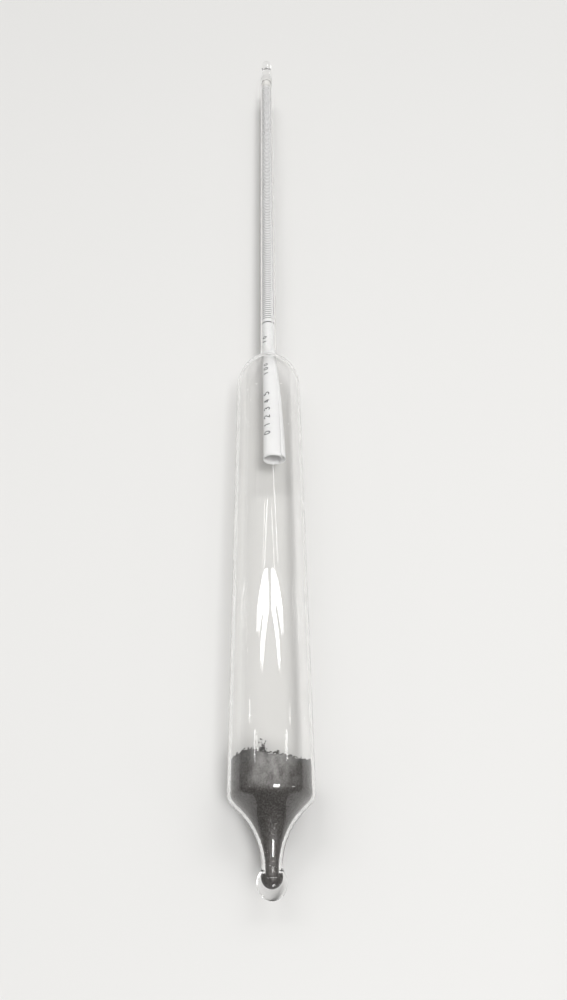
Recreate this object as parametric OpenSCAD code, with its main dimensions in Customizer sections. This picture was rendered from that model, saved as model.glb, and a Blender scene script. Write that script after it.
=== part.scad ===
// Glass hydrometer lying on its side: a float bulb weighted at its tail, and a thin
// stem with a rolled paper scale inside. The axis runs along +Y, tail to stem tip.

/* [Float bulb] */
// Length of the whole hydrometer
length = 305; // [290:1:320]
// Outer diameter of the float bulb
body_d = 16.7; // [16:0.1:18]
// Wall of the float bulb
body_wall = 0.6; // [0.5:0.05:0.9]
// Radius of the shoulder's rounded edge
dome_r = 12; // [10:0.5:12.5]
// Half angle of the shoulder, from the axis
shoulder_angle = 44; // [40:1:48]

/* [Stem] */
// Outer diameter of the stem
stem_d = 4.4; // [4.2:0.1:4.8]
// Wall of the stem
stem_wall = 0.4; // [0.35:0.05:0.45]
// Distance from the tail's end to the stem's fused foot
stem_foot = 135.5; // [130:0.5:140]
// Hollow of the curve where the shoulder meets the stem
neck_fillet_r = 7; // [5:0.5:8]

/* [Tail] */
// Diameter of the round bead that ends the tail
tail_bead_d = 5.6; // [5.2:0.1:6]
// Outer diameter of the tail's drawn neck
tail_neck_d = 3.8; // [3.6:0.1:4.2]
// Half angle of the tail's cone, from the axis
tail_angle = 46; // [42:1:48]

/* [Ballast] */
// Distance from the tail's end to the top of the ballast
ballast_top = 23.2; // [21:0.2:30]
// Thickness of the cement layer that locks the shot
binder_t = 1.4; // [1:0.1:2]
// Number of loose grains that stand on the cement
grains = 16; // [8:1:20]

/* [Paper scale] */
// Distance from the tail's end to the open lower end of the roll
scale_bottom = 96.8; // [90:0.2:110]
// Distance from the tail's end to the upper end of the roll
scale_top = 282.7; // [270:0.1:284]
// Thickness of the paper
paper_t = 0.1; // [0.08:0.01:0.12]

/* [Hidden] */
$fn = 96;

// Float bulb
body_r = body_d / 2;
bore_r = body_r - body_wall;
stem_r = stem_d / 2;
stem_bore_r = stem_r - stem_wall;
arc_steps = 10;

// Tail: the neck, its flare, a straight cone and the rounded lower edge of the bulb
bead_r = tail_bead_d / 2;
tail_neck_r = tail_neck_d / 2;
tail_flare_r = 13.4;
tail_corner_r = 2.5;
tail_wall = 0.6;
bead_top = bead_r + sqrt(pow(bead_r, 2) - pow(tail_neck_r, 2));
body_foot = bead_top + flare_height(tail_neck_r, tail_flare_r, tail_corner_r, body_r);

// Hollow of the tail, on the same rule as its outside
tail_bore_r = tail_neck_r - tail_wall;
bore_flare_r = tail_flare_r + tail_wall;
bore_corner_r = tail_corner_r - body_wall;
bore_foot = body_foot - flare_height(tail_bore_r, bore_flare_r, bore_corner_r, bore_r);
pocket_r = tail_bore_r + 0.04;
pocket_neck = 1;
pocket_centre = bore_foot - pocket_neck - sqrt(pow(pocket_r, 2) - pow(tail_bore_r, 2));
pole_angle = -85; // where the round part of a ball's outline starts, beside its pole

// Shoulder: a rounded edge, a short cone and a hollow curve into the stem
dome_out = edge_radius(body_r, dome_r, shoulder_angle);
neck_out = stem_r + neck_fillet_r * (1 - cos(shoulder_angle));
dome_rise = dome_r * sin(shoulder_angle);
neck_rise = neck_fillet_r * sin(shoulder_angle);
cone_rise = (dome_out - neck_out) / tan(shoulder_angle);
body_head = stem_foot - dome_rise - cone_rise - neck_rise;

// Closed end of the stem: the tube narrows to a pinch that carries the end bead
end_bead_r = 2;
end_bead_half = 3.2;
end_bead_centre = length - end_bead_half;
pinch_r = 1.1;
pinch_angle = 35;
pinch_curve_r = 3;
pinch_fillet_r = 2.5;
pinch_neck = pinch_r + pinch_fillet_r * (1 - cos(pinch_angle));
pinch_cone = (edge_radius(stem_r, pinch_curve_r, pinch_angle) - pinch_neck) / tan(pinch_angle);
pinch_rise = (pinch_curve_r + pinch_fillet_r) * sin(pinch_angle) + pinch_cone;
pinch_length = 0.8;
pinch_foot = end_bead_centre - end_bead_half - pinch_length;
stem_head = pinch_foot - pinch_rise;
solid_end = 8; // the drawn end is solid beyond the hollow
stem_bore_head = stem_head - solid_end;

// Ballast
shot_top = ballast_top - binder_t;
binder_dish = 0.4;
grain_r = [0.22, 0.38];
grain_gap = 0.03;
grain_seed = 7;

// Paper roll: tight in the stem, and opening out in the bulb below the shoulder
roll_r = 1.55;
roll_turns = 1.25;
roll_pitch = 0.12;
open_half_width = 2.3;
open_half_height = 1.8;
open_shift = 1;
open_ease = 2.2;
free_edge_lift = 0.65;
free_edge_angle = 45;
lift_start = 330;
lift_swing = 144; // the lift swells to its full height, and the edge curls part of the way back
lift_ease = 1.5;
flare_start = stem_foot;
flare_stations = 14;
roll_steps = 40;

// Points of an arc about c, from one angle to another
function arc(c, r, from, to) =
    [for (i = [0:arc_steps]) let (a = from + (to - from) * i / arc_steps) c + r * [cos(a), sin(a)]];

// Radius where an edge rounded to r, on a tube of radius tube_r, has turned by an angle
function edge_radius(tube_r, r, angle) = tube_r - r * (1 - cos(angle));

// Height of the tail's outline between its neck and the bulb's wall
function flare_height(neck_r, flare_r, corner_r, tube_r) =
    let (flare_out = neck_r + flare_r * (1 - cos(tail_angle)))
    let (corner_in = edge_radius(tube_r, corner_r, tail_angle))
    (flare_r + corner_r) * sin(tail_angle) + (corner_in - flare_out) / tan(tail_angle);

// The tail's outline from neck to wall, ending at the height head
function flare_outline(neck_r, flare_r, corner_r, tube_r, head) =
    let (foot = head - flare_height(neck_r, flare_r, corner_r, tube_r))
    concat(
        arc([neck_r + flare_r, foot], flare_r, 180, 180 - tail_angle),
        arc([tube_r - corner_r, head], corner_r, -tail_angle, 0)
    );

function reversed(list) = [for (i = [len(list) - 1:-1:0]) list[i]];

tail_outside = flare_outline(tail_neck_r, tail_flare_r, tail_corner_r, body_r, body_foot);
tail_inside = flare_outline(tail_bore_r, bore_flare_r, bore_corner_r, bore_r, body_foot);

// The shoulder's outline from the bulb's wall to the stem, for the outside or the inside
function shoulder_outline(wall_in, neck_in) =
    concat(
        arc([body_r - dome_r, body_head], dome_r - wall_in, 0, shoulder_angle),
        arc([stem_r + neck_fillet_r, stem_foot], neck_fillet_r + neck_in, 180 + shoulder_angle, 180)
    );

// Outline of the pocket in the tail bead
pocket_top_angle = acos(tail_bore_r / pocket_r);
pocket_outline = concat(
    [[0, pocket_centre - pocket_r]],
    arc([0, pocket_centre], pocket_r, pole_angle, pocket_top_angle)
);

// Lays a piece that stands on its tail along +Y, with the bulb resting on Z = 0
module laid_down() {
    translate([0, -length / 2, body_r]) rotate([-90, 0, 0]) children();
}

module turned(outline) {
    laid_down() rotate_extrude() polygon(outline);
}

// Solid round bead with the pocket that holds the first of the shot
module tail_bead() {
    bead_top_angle = acos(tail_neck_r / bead_r);
    color("gainsboro", 0.4) laid_down() rotate_extrude() difference() {
        polygon(concat([[0, 0]], arc([0, bead_r], bead_r, pole_angle, bead_top_angle), [[0, bead_top]]));
        polygon(concat(pocket_outline, [[tail_bore_r, length], [0, length]]));
    }
}

// Drawn tail, flaring from its neck to the bulb's wall
module tail_cone() {
    bore = concat([[tail_bore_r, bead_top]], tail_inside);
    color("gainsboro", 0.4) turned(concat(tail_outside, reversed(bore)));
}

// Straight wall of the float bulb
module body_tube() {
    h = body_head - body_foot;
    color("gainsboro", 0.4) laid_down() translate([0, 0, body_foot]) difference() {
        cylinder(h = h, r = body_r);
        translate([0, 0, -h / 2]) cylinder(h = 2 * h, r = bore_r);
    }
}

// Shoulder that closes the bulb onto the stem
module shoulder() {
    outside = shoulder_outline(0, 0);
    inside = shoulder_outline(body_wall, stem_wall);
    color("gainsboro", 0.4) turned(concat(outside, reversed(inside)));
}

// Stem tube, drawn to a closed pinch at its upper end
module stem_tube() {
    outside = concat(
        [[stem_r, stem_foot]],
        arc([stem_r - pinch_curve_r, stem_head], pinch_curve_r, 0, pinch_angle),
        arc([pinch_r + pinch_fillet_r, pinch_foot], pinch_fillet_r, 180 + pinch_angle, 180)
    );
    hollow = arc([0, stem_bore_head], stem_bore_r, 90, 0);
    color("gainsboro", 0.4)
        turned(concat(outside, [[0, pinch_foot]], hollow, [[stem_bore_r, stem_foot]]));
}

// Fire-polished bead that ends the stem
module stem_end_bead() {
    foot_angle = -acos(pinch_r / end_bead_r);
    bead = [
        for (i = [0:2 * arc_steps])
        let (a = foot_angle + (90 - foot_angle) * i / (2 * arc_steps))
        [end_bead_r * cos(a), end_bead_centre + end_bead_half * sin(a)]
    ];
    color("gainsboro", 0.4) turned(concat([[0, pinch_foot], [pinch_r, pinch_foot]], bead));
}

// Bound shot that fills the tail
module ballast_shot() {
    color("dimgray") turned(concat(pocket_outline, tail_inside, [[bore_r, shot_top], [0, shot_top]]));
}

// Cement poured over the shot, dished where it climbs the wall
module ballast_cement() {
    color("slategray") turned([
        [0, shot_top], [bore_r, shot_top], [bore_r, ballast_top], [0, ballast_top - binder_dish]
    ]);
}

// Grains that stayed on the cement, against the wall
module loose_grains() {
    sizes = rands(grain_r[0], grain_r[1], grains, grain_seed);
    color("dimgray") laid_down() for (i = [0:grains - 1])
        rotate([0, 0, 360 * i / grains])
            translate([bore_r - sizes[i] - grain_gap, 0, ballast_top + sizes[i] + grain_gap])
                sphere(r = sizes[i], $fn = 24);
}

// How far down its free stretch a height of the roll is, from 0 in the stem to 1 at its end
function free_part(height) = max(0, flare_start - height) / (flare_start - scale_bottom);

// A point of the roll, side being 1 on its outer face and -1 on its inner one
function roll_point(height, turn, side) =
    let (down = free_part(height))
    let (open = 1 - pow(1 - down, open_ease))
    let (loose = max(0, turn - lift_start) / (360 * roll_turns - lift_start))
    let (lift = free_edge_lift * sin(lift_swing * loose) * pow(down, lift_ease))
    let (wind = roll_pitch * turn / 360 + side * paper_t / 2 + lift)
    let (half_width = roll_r + (open_half_width - roll_r) * open + wind)
    let (half_height = roll_r + (open_half_height - roll_r) * open + wind)
    let (a = free_edge_angle - 360 * roll_turns + turn)
    [open_shift * open + half_width * cos(a), -half_height * sin(a), height];

function roll_ring(height) =
    let (turns = [for (i = [0:roll_steps]) 360 * roll_turns * i / roll_steps])
    concat(
        [for (turn = turns) roll_point(height, turn, 1)],
        [for (turn = reversed(turns)) roll_point(height, turn, -1)]
    );

// Rolled paper scale: one sheet of a turn and a quarter, whose free edge lifts in the bulb
module scale_paper() {
    free_length = flare_start - scale_bottom;
    free_heights = [for (i = [0:flare_stations]) scale_bottom + free_length * i / flare_stations];
    heights = concat(free_heights, [scale_top]);
    ring = 2 * (roll_steps + 1);
    last = ring * (len(heights) - 1);
    sides = [for (j = [0:len(heights) - 2], i = [0:ring - 1])
        let (k = (i + 1) % ring)
        [ring * j + i, ring * j + k, ring * (j + 1) + k, ring * (j + 1) + i]];
    foot_cap = [for (i = [0:roll_steps - 1]) [ring - 1 - i, ring - 2 - i, i + 1, i]];
    head_cap = [for (face = foot_cap) reversed([for (p = face) p + last])];
    color("white") laid_down()
        polyhedron(points = [for (h = heights) each roll_ring(h)], faces = concat(sides, foot_cap, head_cap));
}

// White plug that fills the closed end of the stem's hollow and holds the roll's upper end
module scale_plug() {
    round_end = arc([0, stem_bore_head], stem_bore_r, 0, 90);
    color("ivory") turned(concat([[0, scale_top], [stem_bore_r, scale_top]], round_end));
}

tail_bead();
tail_cone();
body_tube();
shoulder();
stem_tube();
stem_end_bead();
ballast_shot();
ballast_cement();
loose_grains();
scale_paper();
scale_plug();
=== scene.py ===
"""A glass hydrometer lying on a pale table: one clear envelope, dark shot in its drawn tail,
and a rolled paper scale in its stem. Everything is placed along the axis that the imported
model gives, and s is always the distance from the tail's end."""

import math
import random

import bmesh
import bpy
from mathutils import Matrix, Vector, noise


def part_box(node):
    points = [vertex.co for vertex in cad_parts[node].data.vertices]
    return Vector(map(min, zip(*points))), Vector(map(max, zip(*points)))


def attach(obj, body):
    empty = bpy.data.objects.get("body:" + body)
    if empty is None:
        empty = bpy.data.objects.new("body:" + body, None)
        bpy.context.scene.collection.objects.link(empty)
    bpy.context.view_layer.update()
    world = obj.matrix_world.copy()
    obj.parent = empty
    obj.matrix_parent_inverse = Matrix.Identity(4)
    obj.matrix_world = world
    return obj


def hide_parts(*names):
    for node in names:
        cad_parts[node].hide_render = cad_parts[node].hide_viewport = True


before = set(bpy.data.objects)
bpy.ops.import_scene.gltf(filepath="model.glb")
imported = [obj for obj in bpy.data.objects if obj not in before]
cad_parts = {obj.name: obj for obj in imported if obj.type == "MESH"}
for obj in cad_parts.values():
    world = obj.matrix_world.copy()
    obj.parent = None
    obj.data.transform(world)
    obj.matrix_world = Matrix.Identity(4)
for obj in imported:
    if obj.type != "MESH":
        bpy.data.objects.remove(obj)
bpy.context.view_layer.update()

MM = 0.001


# ---------------------------------------------------------------- places from the frame


def width(node):
    low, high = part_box(node)
    return high[0] - low[0]


TAIL_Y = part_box("tail_bead")[0][1]


def reach(node):
    """Where a node starts and ends along the axis, from the tail's end."""
    low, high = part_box(node)
    return low[1] - TAIL_Y, high[1] - TAIL_Y


BODY_R = width("body_tube") / 2
STEM_R = width("stem_tube") / 2
END_BEAD_R = width("stem_end_bead") / 2
TAIL_BEAD_R = width("tail_bead") / 2
BORE_R = width("ballast_cement") / 2
STEM_BORE_R = width("scale_plug") / 2
AXIS_Z = BODY_R

LENGTH = reach("stem_end_bead")[1]
TAIL_SEAM = reach("tail_cone")[0]
BODY_FOOT, BODY_HEAD = reach("body_tube")
STEM_FOOT, PINCH = reach("stem_tube")
SCALE_BOTTOM, SCALE_TOP = reach("scale_paper")
POCKET_FOOT, SHOT_TOP = reach("ballast_shot")
CEMENT_TOP = reach("ballast_cement")[1]
PLUG_TOP = reach("scale_plug")[1]


def place(s, x, up):
    """A point at s along the axis, x to the right of it and up above it."""
    return Vector((x, TAIL_Y + s, AXIS_Z + up))


def round_place(s, r, angle):
    return place(s, r * math.cos(angle), r * math.sin(angle))


# ---------------------------------------------------------------- outlines, as (s, radius)

TAIL_NECK_R = math.sqrt(TAIL_BEAD_R**2 - (TAIL_SEAM - TAIL_BEAD_R) ** 2)
TAIL_ANGLE = math.radians(46)
SHOULDER_ANGLE = math.radians(44)
PINCH_ANGLE = math.radians(35)
WALL = BODY_R - BORE_R
STEM_WALL = STEM_R - STEM_BORE_R
TAIL_WALL = 0.6 * MM
POCKET_BULGE = 0.04 * MM
POCKET_R = TAIL_NECK_R - TAIL_WALL + POCKET_BULGE
POCKET_S = POCKET_FOOT + POCKET_R
TAIL_FLARE_R = 13.4 * MM
TAIL_CORNER_R = 2.5 * MM
DOME_R = 12 * MM
NECK_FILLET_R = 7 * MM
PINCH_R = 1.1 * MM
PINCH_CURVE_R = 3 * MM
PINCH_FILLET_R = 2.5 * MM
STEM_HOLLOW_END = PLUG_TOP - STEM_BORE_R
END_BEAD_HALF = 3.2 * MM
STEP = 1.5 * MM
SAME_POINT = 1e-7
TAIL_MELT = 0.8 * MM
PINCH_MELT = 0.6 * MM


def arc(s, r, radius, start, end, steps=12):
    """Points of an arc about (s, r), its angles measured from the radius towards the stem."""
    angles = [start + (end - start) * i / steps for i in range(steps + 1)]
    return [(s + radius * math.sin(a), r + radius * math.cos(a)) for a in angles]


def straight(start, end, step=STEP):
    """Points of a straight stretch between two outline points, both ends included."""
    count = max(1, round(math.dist(start, end) / step))
    return [
        (start[0] + (end[0] - start[0]) * i / count, start[1] + (end[1] - start[1]) * i / count)
        for i in range(count + 1)
    ]


def joined(*stretches, step=STEP):
    """One outline through the stretches, with straight runs cut into short steps."""
    points = [stretches[0][0]]
    for stretch in stretches:
        for point in stretch:
            if math.dist(point, points[-1]) > SAME_POINT:
                points += straight(points[-1], point, step)[1:]
    return points


def fused(before, after, melt):
    """Two outline stretches, with the corner where they meet melted to a curve."""
    corner = before[-1]
    start = [p for p in before if math.dist(p, corner) > melt]
    end = [p for p in after if math.dist(p, corner) > melt]
    steps = 8
    curve = []
    for i in range(1, steps):
        u = i / steps
        pull = (1 - u) ** 2, 2 * u * (1 - u), u**2
        curve.append(tuple(
            pull[0] * start[-1][k] + pull[1] * corner[k] + pull[2] * end[0][k] for k in (0, 1)
        ))
    return start + curve + end


def tail(neck_r, flare_r, corner_r, tube_r):
    """The tail's outline from its neck to the bulb's wall."""
    turn = TAIL_ANGLE
    drop = flare_r * (1 - math.cos(turn)) + corner_r * (1 - math.cos(turn))
    cone = (tube_r - neck_r - drop) / math.tan(turn)
    foot = BODY_FOOT - (flare_r + corner_r) * math.sin(turn) - cone
    flare = arc(foot, neck_r + flare_r, flare_r, math.pi, math.pi - turn)
    corner = arc(BODY_FOOT, tube_r - corner_r, corner_r, -turn, 0)
    return flare + corner


def shoulder(wall_in, neck_in):
    """The shoulder's outline from the bulb's wall to the stem, outside or inside the glass."""
    dome = arc(BODY_HEAD, BODY_R - DOME_R, DOME_R - wall_in, 0, SHOULDER_ANGLE)
    fillet = NECK_FILLET_R + neck_in
    neck = arc(STEM_FOOT, STEM_R + NECK_FILLET_R, fillet, math.pi + SHOULDER_ANGLE, math.pi)
    return dome + neck


def stem_end():
    """The outside of the stem's closed end: its narrowing, the pinch and the end bead."""
    turn = PINCH_ANGLE
    drop = (PINCH_CURVE_R + PINCH_FILLET_R) * (1 - math.cos(turn))
    cone = (STEM_R - PINCH_R - drop) / math.tan(turn)
    head = PINCH - (PINCH_CURVE_R + PINCH_FILLET_R) * math.sin(turn) - cone
    curve = arc(head, STEM_R - PINCH_CURVE_R, PINCH_CURVE_R, 0, turn)
    fillet = arc(PINCH, PINCH_R + PINCH_FILLET_R, PINCH_FILLET_R, math.pi + turn, math.pi)
    centre = LENGTH - END_BEAD_HALF
    start = -math.acos(PINCH_R / END_BEAD_R)
    steps = 24
    angles = [start + (math.pi / 2 - start) * i / steps for i in range(steps + 1)]
    bead = [(centre + END_BEAD_HALF * math.sin(a), END_BEAD_R * math.cos(a)) for a in angles]
    return curve + fused(fillet, bead[:-1], PINCH_MELT) + [(LENGTH, 0)]


def glass_outside():
    seam = math.acos(TAIL_NECK_R / TAIL_BEAD_R)
    bead = arc(TAIL_BEAD_R, 0, TAIL_BEAD_R, -math.pi / 2, seam, 30)[1:]
    cone = tail(TAIL_NECK_R, TAIL_FLARE_R, TAIL_CORNER_R, BODY_R)
    return joined([(0, 0)], fused(bead, cone, TAIL_MELT), shoulder(0, 0), stem_end())


def pocket_and_tail(gap=0.0, pocket_gap=0.0):
    """The hollow's outline from the tail bead's pocket to the bulb's wall, less the gaps."""
    neck_r = TAIL_NECK_R - TAIL_WALL - gap
    pocket_r = POCKET_R - pocket_gap
    seam = math.acos(neck_r / pocket_r)
    pocket = arc(POCKET_S, 0, pocket_r, -math.pi / 2, seam, 24)[1:]
    cone = tail(neck_r, TAIL_FLARE_R + TAIL_WALL, TAIL_CORNER_R - WALL, BORE_R - gap)
    return joined([(POCKET_S - pocket_r, 0)], pocket, cone)


def glass_inside():
    end = arc(STEM_HOLLOW_END, 0, STEM_BORE_R, 0, math.pi / 2)[:-1]
    tip = (STEM_HOLLOW_END + STEM_BORE_R, 0)
    return joined(pocket_and_tail(), shoulder(WALL, STEM_WALL), end, [tip])


# ---------------------------------------------------------------- meshes


def add_object(name, data):
    made = bpy.data.objects.new(name, data)
    bpy.context.collection.objects.link(made)
    return made


def add_mesh(name, verts, faces, smooth=True):
    mesh = bpy.data.meshes.new(name)
    mesh.from_pydata(verts, [], faces)
    mesh.validate()
    mesh.polygons.foreach_set("use_smooth", [smooth] * len(mesh.polygons))
    return add_object(name, mesh)


def lathe(outline, segments, shape=lambda s, r, angle: (s, r), inward=False):
    """Vertices and faces of an outline turned about the axis. Points at radius 0 are poles.
    shape(s, r, angle) may move a point along the outline's plane."""
    verts = []
    rings = []
    for s, r in outline:
        first = len(verts)
        if r == 0:
            verts.append(place(s, 0, 0))
            rings.append([first] * segments)
            continue
        for i in range(segments):
            angle = 2 * math.pi * i / segments
            verts.append(round_place(*shape(s, r, angle), angle))
        rings.append([first + i for i in range(segments)])
    faces = []
    for low, high in zip(rings, rings[1:]):
        for i in range(segments):
            k = (i + 1) % segments
            quad = [low[i], low[k], high[k], high[i]]
            if not inward:
                quad.reverse()
            faces.append(list(dict.fromkeys(quad)))
    return verts, faces


def merged(*parts):
    """Several (verts, faces) as one."""
    verts = []
    faces = []
    for part_verts, part_faces in parts:
        base = len(verts)
        verts += part_verts
        faces += [[base + v for v in face] for face in part_faces]
    return verts, faces


def on_circle(angle, scale, s, pace):
    """A point for noise that runs round the axis without a seam."""
    return Vector((math.cos(angle) * scale, math.sin(angle) * scale, s * pace))


# ---------------------------------------------------------------- materials


def new_material(name):
    material = bpy.data.materials.new(name)
    material.use_nodes = True
    nodes = material.node_tree.nodes
    links = material.node_tree.links
    shader = nodes["Principled BSDF"]
    return material, nodes, links, shader


def noise_node(nodes, links, scale, detail=4.0, stretch=(1, 1, 1)):
    """A noise texture in the object's own coordinates, stretched along its axes."""
    coords = nodes.new("ShaderNodeTexCoord")
    mapping = nodes.new("ShaderNodeMapping")
    mapping.inputs["Scale"].default_value = stretch
    texture = nodes.new("ShaderNodeTexNoise")
    texture.inputs["Scale"].default_value = scale
    texture.inputs["Detail"].default_value = detail
    links.new(coords.outputs["Object"], mapping.inputs["Vector"])
    links.new(mapping.outputs["Vector"], texture.inputs["Vector"])
    return texture.outputs["Fac"]


def ramp(nodes, links, value, low, high, start=0.35, end=0.65):
    """A colour between two, by a value."""
    node = nodes.new("ShaderNodeValToRGB")
    node.color_ramp.elements[0].position = start
    node.color_ramp.elements[0].color = (*low, 1)
    node.color_ramp.elements[1].position = end
    node.color_ramp.elements[1].color = (*high, 1)
    links.new(value, node.inputs["Fac"])
    return node.outputs["Color"]


def between(nodes, links, vector, low, high):
    """A value that runs from 0 to 1 as a place goes from low to high along a vector."""
    coords = nodes.new("ShaderNodeTexCoord")
    place_node = nodes.new("ShaderNodeVectorMath")
    place_node.operation = "DOT_PRODUCT"
    place_node.inputs[1].default_value = vector
    spread = nodes.new("ShaderNodeMapRange")
    spread.interpolation_type = "SMOOTHSTEP"
    spread.inputs["From Min"].default_value = low
    spread.inputs["From Max"].default_value = high
    links.new(coords.outputs["Object"], place_node.inputs[0])
    links.new(place_node.outputs["Value"], spread.inputs["Value"])
    return spread.outputs["Result"]


def math_node(nodes, links, operation, *values):
    node = nodes.new("ShaderNodeMath")
    node.operation = operation
    for socket, value in zip(node.inputs, values):
        if isinstance(value, float):
            socket.default_value = value
        else:
            links.new(value, socket)
    return node.outputs["Value"]


def bump(nodes, links, shader, value, strength, distance):
    node = nodes.new("ShaderNodeBump")
    node.inputs["Strength"].default_value = strength
    node.inputs["Distance"].default_value = distance
    links.new(value, node.inputs["Height"])
    links.new(node.outputs["Normal"], shader.inputs["Normal"])


def glass_material():
    """Clear drawn glass with faint lengthwise striations. Lamps shine through it."""
    material, nodes, links, shader = new_material("clear_glass")
    shader.inputs["Base Color"].default_value = (0.99, 0.989, 0.986, 1)
    shader.inputs["Roughness"].default_value = 0.0
    shader.inputs["IOR"].default_value = 1.47
    shader.inputs["Transmission Weight"].default_value = 1.0
    striae = noise_node(nodes, links, 420, detail=2.0, stretch=(1, 0.04, 1))
    bump(nodes, links, shader, striae, 0.04, 0.01 * MM)
    path = nodes.new("ShaderNodeLightPath")
    clear = nodes.new("ShaderNodeBsdfTransparent")
    facing = nodes.new("ShaderNodeLayerWeight")
    facing.inputs["Blend"].default_value = 0.5
    tilted = facing.outputs["Facing"]
    shade = ramp(nodes, links, tilted, (0.98, 0.979, 0.976), (0.5, 0.495, 0.49), 0.35, 1.0)
    links.new(shade, clear.inputs["Color"])
    seen = shader.outputs["BSDF"]
    for ray in ("Is Shadow Ray", "Is Diffuse Ray"):
        mix = nodes.new("ShaderNodeMixShader")
        links.new(path.outputs[ray], mix.inputs["Fac"])
        links.new(seen, mix.inputs[1])
        links.new(clear.outputs["BSDF"], mix.inputs[2])
        seen = mix.outputs["Shader"]
    links.new(seen, nodes["Material Output"].inputs["Surface"])
    return material


DUST_FOOT = 16.6 * MM, 19.4 * MM
# Heights above the axis over which the dust fades in upwards. This fade is also painted light: a
# lighter top where light falls from above.
DUST_AND_LIGHT_RISE = 4.6 * MM, 7.9 * MM


def dust_and_painted_light(nodes, links):
    """Blotches of cement dust, which fade in along the axis over DUST_FOOT and upwards from the
    axis over DUST_AND_LIGHT_RISE. The upward fade is painted light as well as dust: it paints the
    ballast's upper side lighter and its sides darker, as light falling from above would."""
    patches = noise_node(nodes, links, 420, detail=8.0, stretch=(1, 0.6, 1))
    blotches = math_node(nodes, links, "MULTIPLY_ADD", patches, 3.0, -0.95)
    along = [TAIL_Y + s for s in DUST_FOOT]
    upward = [AXIS_Z + up for up in DUST_AND_LIGHT_RISE]
    straight_part = between(nodes, links, (0, 1, 0), *along)
    # Painted light: lighter towards the top of the ballast, darker at its sides.
    painted_lit_top = between(nodes, links, (0, 0, 1), *upward)
    dust_and_light_reach = math_node(nodes, links, "MULTIPLY", straight_part, painted_lit_top)
    return math_node(nodes, links, "MULTIPLY", dust_and_light_reach, blotches)


def ballast_material(name, bare):
    """Dark fine shot with its binder, slightly shiny, with cement dust where cement was poured,
    and painted lighter on its upper side, where light falls from above. bare is its colour where
    no dust and no painted light lies."""
    material, nodes, links, shader = new_material(name)
    grains = noise_node(nodes, links, 3600, detail=5.0)
    fine = math_node(nodes, links, "MULTIPLY", grains, 0.6)
    dust_and_light = math_node(nodes, links, "MULTIPLY_ADD", dust_and_painted_light(nodes, links), 0.5, fine)
    # The light grey end of this ramp is cement dust and, on the ballast's upper side, painted
    # light.
    colour = ramp(nodes, links, dust_and_light, bare, (0.24, 0.235, 0.228), 0.24, 0.78)
    links.new(colour, shader.inputs["Base Color"])
    shader.inputs["Roughness"].default_value = 0.45
    shader.inputs["Metallic"].default_value = 0.15
    bump(nodes, links, shader, grains, 0.2, 0.06 * MM)
    return material


def grain_material():
    """The same dark shot as single grains."""
    material, nodes, links, shader = new_material("loose_shot")
    shade = noise_node(nodes, links, 2000, detail=2.0)
    colour = ramp(nodes, links, shade, (0.012, 0.01, 0.009), (0.05, 0.045, 0.042))
    links.new(colour, shader.inputs["Base Color"])
    shader.inputs["Roughness"].default_value = 0.5
    return material


def paper_material():
    """Matt white paper with a fibrous grain. Some light comes through it."""
    material, nodes, links, shader = new_material("scale_paper")
    fibres = noise_node(nodes, links, 900, detail=8.0, stretch=(1, 0.5, 1))
    colour = ramp(nodes, links, fibres, (0.95, 0.95, 0.955), (0.98, 0.98, 0.985))
    links.new(colour, shader.inputs["Base Color"])
    shader.inputs["Roughness"].default_value = 0.75
    shader.inputs["Subsurface Weight"].default_value = 0.5
    shader.inputs["Subsurface Radius"].default_value = (1, 1, 1)
    shader.inputs["Subsurface Scale"].default_value = 0.3 * MM
    bump(nodes, links, shader, fibres, 0.15, 0.03 * MM)
    return material


def ink_material():
    """Black printing ink, a little uneven."""
    material, nodes, links, shader = new_material("black_ink")
    uneven = noise_node(nodes, links, 1500, detail=3.0)
    colour = ramp(nodes, links, uneven, (0.012, 0.012, 0.014), (0.06, 0.06, 0.065))
    links.new(colour, shader.inputs["Base Color"])
    shader.inputs["Roughness"].default_value = 0.6
    return material


def plug_material():
    """Matt white cement."""
    material, nodes, links, shader = new_material("white_plug")
    grain = noise_node(nodes, links, 1200, detail=5.0)
    colour = ramp(nodes, links, grain, (0.8, 0.79, 0.76), (0.93, 0.92, 0.9))
    links.new(colour, shader.inputs["Base Color"])
    shader.inputs["Roughness"].default_value = 0.8
    bump(nodes, links, shader, grain, 0.3, 0.05 * MM)
    return material


def floor_material():
    """Plain pale table top, one colour all over."""
    material, nodes, links, shader = new_material("pale_floor")
    shader.inputs["Base Color"].default_value = (0.75, 0.745, 0.733, 1)
    shader.inputs["Roughness"].default_value = 0.6
    grain = noise_node(nodes, links, 400, detail=3.0)
    bump(nodes, links, shader, grain, 0.05, 0.05 * MM)
    return material


def finish_piece(piece, material, slot, *nodes):
    """Gives a piece its material and its body, and hides the CAD nodes it stands for.
    slot is not used.
    """
    piece.data.materials.append(material)
    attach(piece, "root")
    if nodes:
        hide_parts(*nodes)
    return piece


# ---------------------------------------------------------------- glass


OUT_OF_ROUND = 0.004 * MM
DRAWN_UNEVEN = 0.05


def outside_shape(s, r, angle):
    """Hand-drawn glass is never quite round: a little is taken off here and there."""
    uneven = noise.noise(on_circle(angle, 0.7, s, 60))
    return s, r - OUT_OF_ROUND * (1 + uneven)


def inside_shape(s, r, angle):
    """The drawn tail's wall varies more than the tube's."""
    drawn = max(0.0, 1 - s / BODY_FOOT)
    uneven = noise.noise(on_circle(angle, 0.8, s, 220))
    return s, r + DRAWN_UNEVEN * drawn * MM * uneven


def build_glass():
    segments = 192
    outside = lathe(glass_outside(), segments, outside_shape)
    inside = lathe(glass_inside(), segments, inside_shape, inward=True)
    piece = add_mesh("glass_envelope", *merged(outside, inside))
    finish_piece(
        piece, glass_material(), "clear_glass",
        "tail_bead", "tail_cone", "body_tube", "shoulder", "stem_tube", "stem_end_bead",
    )


# ---------------------------------------------------------------- ballast

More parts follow.
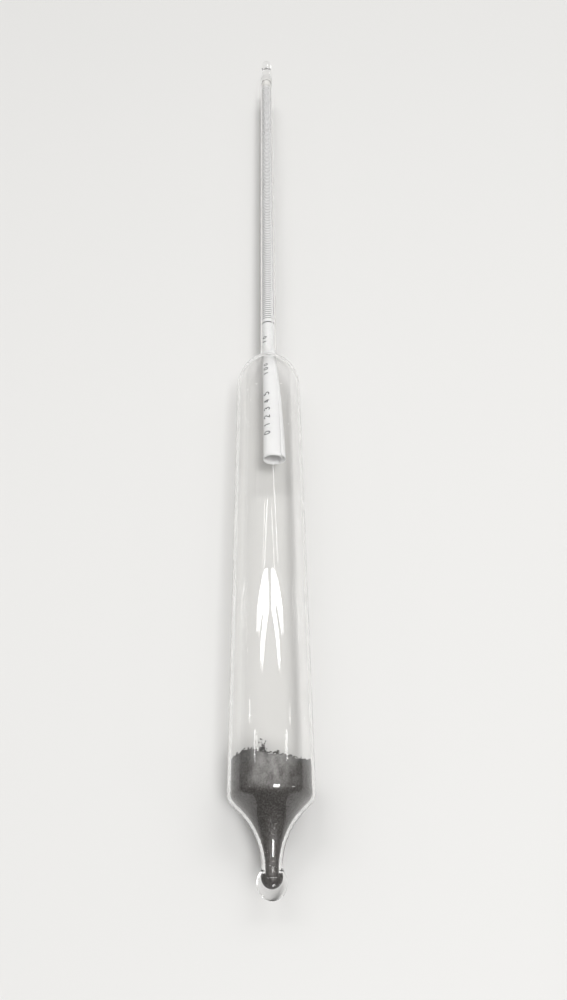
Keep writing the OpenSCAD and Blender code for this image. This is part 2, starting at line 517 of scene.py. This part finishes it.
GAP = 0.04 * MM
SOAKED = 0.03 * MM
GRAIN = 0.3 * MM
GRAIN_DEPTH = 0.1 * MM
GRAIN_STEEPNESS = 1.3
EDGE = 0.01 * MM
SKIN_STEP = 0.14 * MM
SKIN_SEGMENTS = 320
POCKET_SHARE = 0.2
DISH_DEPTH = 0.4 * MM
DISH_RINGS = 14
LUMP_HEIGHT = 0.25 * MM
LUMP_SIZE = 1.1 * MM
BARE_SHOT = (0.034, 0.029, 0.026)
BARE_CEMENT = (0.05, 0.048, 0.046)


def grainy(s, r, angle, depth):
    """Pulls a point of the ballast's skin in between its grains."""
    point = round_place(s, r, angle) / GRAIN
    distances = noise.voronoi(point)[0]
    return s, r - depth * min(1.0, distances[0] * GRAIN_STEEPNESS)


def build_shot():
    rim_r = BORE_R - GAP
    skin = pocket_and_tail(GAP, -SOAKED) + [(SHOT_TOP - EDGE, rim_r), (SHOT_TOP, rim_r)]
    skin = joined(*[straight(a, b, SKIN_STEP) for a, b in zip(skin, skin[1:])])
    lid = [(SHOT_TOP, BORE_R * 0.6), (SHOT_TOP, 0)]
    outline = skin + lid

    def shape(s, r, angle):
        share = POCKET_SHARE if s < TAIL_SEAM else 1
        return grainy(s, r, angle, GRAIN_DEPTH * share)

    piece = add_mesh("shot_fill", *lathe(outline, SKIN_SEGMENTS, shape))
    finish_piece(piece, ballast_material("bound_shot", BARE_SHOT), "shot", "ballast_shot")


# The cement climbed the wall on the left of the bulb's top, and sank on the right. Each hump is
# (middle and spread in degrees, height in mm)
CLIMBED = (128, 24, 0.9)
SUNK = (55, 38, 0.8)
RIM_UNEVEN = 0.25
RIM_FINE = 0.12


def hump(degrees, middle, spread, height):
    return height * math.exp(-(((degrees - middle) / spread) ** 2))


def cement_rim(angle):
    """How far the cement's edge stands above its mean height."""
    degrees = math.degrees(angle) % 360
    uneven = RIM_UNEVEN * noise.noise(on_circle(angle, 3, 0, 0))
    fine = RIM_FINE * noise.noise(on_circle(angle, 9, 0, 0))
    return (hump(degrees, *CLIMBED) - hump(degrees, *SUNK) + uneven + fine) * MM


def build_cement():
    rim_r = BORE_R - GAP
    foot = SHOT_TOP + EDGE
    wall = [(foot, rim_r)] + straight((foot + EDGE, rim_r), (CEMENT_TOP, rim_r), SKIN_STEP)
    shares = [i / DISH_RINGS for i in range(1, DISH_RINGS)]
    dish = [(CEMENT_TOP - DISH_DEPTH * share, rim_r * (1 - share)) for share in shares]
    outline = [(foot, 0)] + wall + dish + [(CEMENT_TOP - DISH_DEPTH, 0)]

    def shape(s, r, angle):
        share = (s - foot) / (CEMENT_TOP - foot)
        lumpy = LUMP_HEIGHT * noise.noise(round_place(s, r, angle) / LUMP_SIZE) * share
        raised = s + cement_rim(angle) * share * (r / rim_r) + lumpy
        return raised, grainy(s, r, angle, GRAIN_DEPTH)[1]

    piece = add_mesh("cement_crust", *lathe(outline, SKIN_SEGMENTS, shape))
    finish_piece(piece, ballast_material("cement_dust_and_light", BARE_CEMENT), "cement", "ballast_cement")


# Heaps of loose grains on the rim, as (middle and spread in degrees, count, height in mm): a
# thin spike on a wider foot left of the top, a low heap right of it, and strays
HEAPS = ((101.5, 6, 36, 2.3), (100.5, 9, 44, 0.9), (82, 5, 18, 0.7), (90, 70, 80, 0.3))
HEAP_SEED = 11
GRAIN_SIZES = 0.07, 0.16


def grain_spots(draw):
    """Angles round the rim and heights above it, for every grain of the heaps."""
    spots = []
    for middle, spread, count, height in HEAPS:
        for _ in range(count):
            up = draw.random() ** 1.4
            spots.append((middle + spread * (1 - 0.6 * up) * draw.gauss(0, 0.6), height * up * MM))
    return spots


def build_grains():
    """Grains stuck on the wall along the cement's edge."""
    draw = random.Random(HEAP_SEED)
    mesh = bmesh.new()
    for degrees, height in grain_spots(draw):
        angle = math.radians(degrees)
        size = draw.uniform(*GRAIN_SIZES) * MM
        s = CEMENT_TOP + cement_rim(angle) + height
        centre = round_place(s, BORE_R - GAP - size * 1.1, angle)
        made = bmesh.ops.create_icosphere(mesh, subdivisions=2, radius=size)
        for vert in made["verts"]:
            lump = 1 + 0.25 * noise.noise(vert.co / (0.15 * MM) + centre / MM)
            vert.co = centre + vert.co * min(1.1, lump)
    data = bpy.data.meshes.new("loose_shot")
    mesh.to_mesh(data)
    mesh.free()
    data.polygons.foreach_set("use_smooth", [True] * len(data.polygons))
    piece = add_object("loose_shot", data)
    finish_piece(piece, grain_material(), "shot", "loose_grains")


# ---------------------------------------------------------------- paper scale

PAPER_T = 0.1 * MM
ROLL_R = 1.55 * MM
ROLL_PITCH = 0.12 * MM
ROLL_TURN = 450
FREE_EDGE_ANGLE = 45
LIFT_START = 330
FREE_EDGE_LIFT = 0.65 * MM
LIFT_SWING = math.radians(144)
OPEN_HALF_WIDTH = 2.3 * MM
OPEN_HALF_HEIGHT = 1.8 * MM
OPEN_SHIFT = 1.0 * MM
OPEN_EASE = 2.2
LIFT_EASE = 1.5


def roll_point(s, turn, out):
    """A point of the roll at s along the axis and a turn in degrees from its inner edge, out
    from the middle of the paper."""
    down = max(0.0, STEM_FOOT - s) / (STEM_FOOT - SCALE_BOTTOM)
    opened = 1 - (1 - down) ** OPEN_EASE
    loose = max(0.0, turn - LIFT_START) / (ROLL_TURN - LIFT_START)
    lift = FREE_EDGE_LIFT * math.sin(LIFT_SWING * loose) * down**LIFT_EASE
    wind = ROLL_PITCH * turn / 360 + out + lift
    half_width = ROLL_R + (OPEN_HALF_WIDTH - ROLL_R) * opened + wind
    half_height = ROLL_R + (OPEN_HALF_HEIGHT - ROLL_R) * opened + wind
    a = math.radians(FREE_EDGE_ANGLE - ROLL_TURN + turn)
    return place(s, OPEN_SHIFT * opened + half_width * math.cos(a), half_height * math.sin(a))


def sheet_of(stations, turns, low, high):
    """A closed sheet between two depths of the roll, over a grid of stations and turns."""
    verts = []
    rows = len(stations)
    columns = len(turns)
    for out in (high, low):
        verts += [roll_point(s, turn, out) for s in stations for turn in turns]
    faces = []
    under = rows * columns

    def at(i, j):
        return i * columns + j

    for i in range(rows - 1):
        for j in range(columns - 1):
            top = [at(i, j), at(i, j + 1), at(i + 1, j + 1), at(i + 1, j)]
            faces.append(top[::-1])
            faces.append([under + v for v in top])
    rim = [at(0, j) for j in range(columns)]
    rim += [at(i, columns - 1) for i in range(1, rows)]
    rim += [at(rows - 1, j) for j in range(columns - 2, -1, -1)]
    rim += [at(i, 0) for i in range(rows - 2, 0, -1)]
    for a, b in zip(rim, rim[1:] + rim[:1]):
        faces.append([a, b, under + b, under + a])
    return verts, faces


def spaced(start, end, count):
    return [start + (end - start) * i / count for i in range(count + 1)]


def build_paper():
    stations = spaced(SCALE_BOTTOM, STEM_FOOT, 40) + spaced(STEM_FOOT, SCALE_TOP, 40)[1:]
    turns = spaced(0, ROLL_TURN, 100)
    sheet = sheet_of(stations, turns, -PAPER_T / 2, PAPER_T / 2)
    piece = add_mesh("paper_roll", *sheet)
    finish_piece(piece, paper_material(), "paper", "scale_paper")


INK_LOW = PAPER_T / 2 + 0.004 * MM
INK_HIGH = INK_LOW + 0.01 * MM
DIVISION = 0.86 * MM
LINE_WIDTH = 0.2 * MM
BASE_LINE = STEM_FOOT + 10.2 * MM
BASE_WIDTH = 0.42 * MM
FIRST_DIVISION = 2
PRINTED_TURN = 350
FIGURES_TURN = 150
PEN = 0.24 * MM
# Rows of figures, as (digits, start above the paper's foot, height and pitch in mm)
FIGURE_ROWS = (("012345", 7, 1.9, 2.7), ("100", 28, 1.6, 1.8), ("10", 40.5, 1.5, 1.7))


def ring_line(s, line_width):
    """One graduation, printed once round the outer turn of the roll."""
    turns = spaced(ROLL_TURN - PRINTED_TURN, ROLL_TURN, 60)
    return sheet_of([s - line_width / 2, s + line_width / 2], turns, INK_LOW, INK_HIGH)


def ellipse(x, y, rx, ry, start, end, steps=10):
    angles = [math.radians(start + (end - start) * i / steps) for i in range(steps + 1)]
    return [(x + rx * math.cos(a), y + ry * math.sin(a)) for a in angles]


def figure(digit):
    """Pen strokes of a plain figure, one wide and two high."""
    return {
        "0": [ellipse(0.5, 1, 0.45, 0.9, 0, 360, 20)],
        "1": [[(0.3, 1.5), (0.55, 1.9), (0.55, 0.1)]],
        "2": [ellipse(0.5, 1.4, 0.42, 0.5, 170, -30) + [(0.1, 0.1), (0.95, 0.1)]],
        "3": [ellipse(0.45, 1.42, 0.4, 0.46, 150, -90), ellipse(0.45, 0.52, 0.46, 0.46, 90, -150)],
        "4": [[(0.7, 0.1), (0.7, 1.9), (0.05, 0.65), (0.95, 0.65)]],
        "5": [[(0.85, 1.9), (0.2, 1.9), (0.15, 1.1)] + ellipse(0.42, 0.66, 0.48, 0.56, 110, -140)],
    }[digit]


def pen_stroke(points, pen):
    """The two sides of a stroke of the pen along some points."""
    sides = []
    for i, point in enumerate(points):
        before = points[max(0, i - 1)]
        after = points[min(len(points) - 1, i + 1)]
        run = math.hypot(after[0] - before[0], after[1] - before[1])
        across = (-(after[1] - before[1]) / run * pen / 2, (after[0] - before[0]) / run * pen / 2)
        sides.append(((point[0] + across[0], point[1] + across[1]),
                      (point[0] - across[0], point[1] - across[1])))
    return sides


def written(digits, s, height, pitch):
    """Figures written along the roll from s towards the stem, their feet to the right."""
    parts = []
    scale = height / 2
    for n, digit in enumerate(digits):
        for stroke in figure(digit):
            sides = pen_stroke(joined(stroke, step=0.1), PEN / scale)
            verts = []
            for out in (INK_HIGH, INK_LOW):
                for side in sides:
                    for x, y in side:
                        along = s + n * pitch + x * scale
                        degrees = FIGURES_TURN + math.degrees(y * scale / OPEN_HALF_WIDTH)
                        verts.append(roll_point(along, degrees, out))
            parts.append((verts, stroke_faces(len(sides))))
    return parts


def stroke_faces(count):
    """Faces of a closed stroke: count pairs of points above, and the same below."""
    under = 2 * count
    faces = []
    for i in range(count - 1):
        a = 2 * i
        top = [a, a + 1, a + 3, a + 2]
        faces.append(top)
        faces.append([under + v for v in top[::-1]])
        faces.append([a, a + 2, under + a + 2, under + a])
        faces.append([a + 3, a + 1, under + a + 1, under + a + 3])
    last = 2 * count - 2
    faces.append([1, 0, under, under + 1])
    faces.append([last, last + 1, under + last + 1, under + last])
    return faces


def build_ink():
    count = int((SCALE_TOP - BASE_LINE) / DIVISION) - 1
    lines = [ring_line(BASE_LINE + DIVISION * i, LINE_WIDTH) for i in range(FIRST_DIVISION, count)]
    lines.append(ring_line(BASE_LINE, BASE_WIDTH))
    piece = add_mesh("scale_graduations", *merged(*lines), smooth=False)
    finish_piece(piece, ink_material(), "ink")
    figures = []
    for digits, start, height, pitch in FIGURE_ROWS:
        figures += written(digits, SCALE_BOTTOM + start * MM, height * MM, pitch * MM)
    piece = add_mesh("scale_figures", *merged(*figures), smooth=False)
    finish_piece(piece, ink_material(), "ink")


PLUG_CLEAR = 0.02 * MM
PLUG_ROUND_R = 1.1 * MM
PLUG_UNEVEN = 0.06


def build_plug():
    r = STEM_BORE_R - GAP
    foot = SCALE_TOP + PLUG_CLEAR
    top = arc(PLUG_TOP - PLUG_ROUND_R, r - PLUG_ROUND_R, PLUG_ROUND_R, 0, math.pi / 2)
    outline = joined([(foot, 0)], [(foot, r)], top, [(PLUG_TOP, 0)])

    def shape(s, radius, angle):
        lump = noise.noise(round_place(s, radius, angle) / (0.8 * MM))
        return s, radius * (1 - PLUG_UNEVEN * (1 + lump))

    piece = add_mesh("stem_plug", *lathe(outline, 48, shape))
    finish_piece(piece, plug_material(), "plug", "scale_plug")


# ---------------------------------------------------------------- table, light and camera


FLOOR_SIDE = 40.0
FLOOR_DROP = 0.1 * MM


def build_floor():
    mesh = bmesh.new()
    bmesh.ops.create_grid(mesh, x_segments=8, y_segments=8, size=FLOOR_SIDE / 2)
    data = bpy.data.meshes.new("floor")
    mesh.to_mesh(data)
    mesh.free()
    floor = add_object("floor", data)
    floor.location.z = -FLOOR_DROP
    data.materials.append(floor_material())


CEILING = 1.5
PANEL_GLOW = 15.5
ROOM_TILT = 25
ROOM_DARK = (0.15, 0.15, 0.15)
ROOM_PALE = (0.45, 0.446, 0.438)


def ceiling_panel(name, x, y, wide, deep, turn=0):
    """A ceiling panel, its centre and sides in ceiling heights, turned by some degrees."""
    data = bpy.data.lights.new(name, "AREA")
    data.shape = "RECTANGLE"
    data.size = wide * CEILING
    data.size_y = deep * CEILING
    data.energy = PANEL_GLOW * math.pi * data.size * data.size_y
    lamp = add_object(name, data)
    lamp.location = (x * CEILING, y * CEILING, CEILING)
    lamp.rotation_euler.z = math.radians(turn)


def build_light():
    """A pale room, darker behind the viewer, under rows of ceiling panels."""
    world = bpy.data.worlds.new("studio")
    world.use_nodes = True
    nodes = world.node_tree.nodes
    links = world.node_tree.links
    coords = nodes.new("ShaderNodeTexCoord")
    tilt = nodes.new("ShaderNodeMapping")
    tilt.inputs["Rotation"].default_value = (math.radians(ROOM_TILT), 0, 0)
    split = nodes.new("ShaderNodeSeparateXYZ")
    links.new(coords.outputs["Generated"], tilt.inputs["Vector"])
    links.new(tilt.outputs["Vector"], split.inputs["Vector"])
    sky = ramp(nodes, links, split.outputs["Z"], ROOM_DARK, ROOM_PALE, 0.05, 0.8)
    links.new(sky, nodes["Background"].inputs["Color"])
    nodes["Background"].inputs["Strength"].default_value = 1.0
    bpy.context.scene.world = world
    ceiling_panel("panel_over", 0.25, -0.45, 0.32, 0.46)
    ceiling_panel("panel_side", -1.68, 0.59, 0.1, 0.06)
    ceiling_panel("strip_left", -0.19, 0.593, 0.22, 0.014, 33)
    ceiling_panel("strip_right", 0.355, 0.665, 0.29, 0.016, -36)
    for side, name in ((-1, "left"), (1, "right")):
        ceiling_panel("panel_ahead_" + name, side * 0.45, 0.51, 0.68, 0.05, side * 4.5)
        ceiling_panel("panel_above_" + name, side * 0.3, 0.43, 0.44, 0.045, side * -8)
        ceiling_panel("panel_low_" + name, side * 1.7, -0.5, 0.16, 0.14)
        ceiling_panel("panel_far_" + name, side * 0.94, 0.32, 0.05, 0.06)


EYE_HEIGHT = 0.469 * LENGTH
EYE_BEHIND = 0.052 * LENGTH
EYE_RIGHT = 0.0055 * LENGTH
PITCH = 54.9
HEADING = 0.97
LENS = 26.3
SENSOR = 36


def build_camera():
    """The main view: from just behind the tail, looking down along the stem."""
    data = bpy.data.cameras.new("camera")
    data.sensor_fit = "VERTICAL"
    data.sensor_height = SENSOR
    data.lens = LENS
    data.clip_start = 0.01
    camera = add_object("camera", data)
    camera.location = place(-EYE_BEHIND, EYE_RIGHT, EYE_HEIGHT)
    camera.rotation_euler = (math.radians(90 - PITCH), 0, math.radians(-HEADING))
    bpy.context.scene.camera = camera


build_glass()
build_shot()
build_cement()
build_grains()
build_paper()
build_ink()
build_plug()
build_floor()
build_light()
build_camera()
bpy.context.scene.view_settings.view_transform = "Standard"
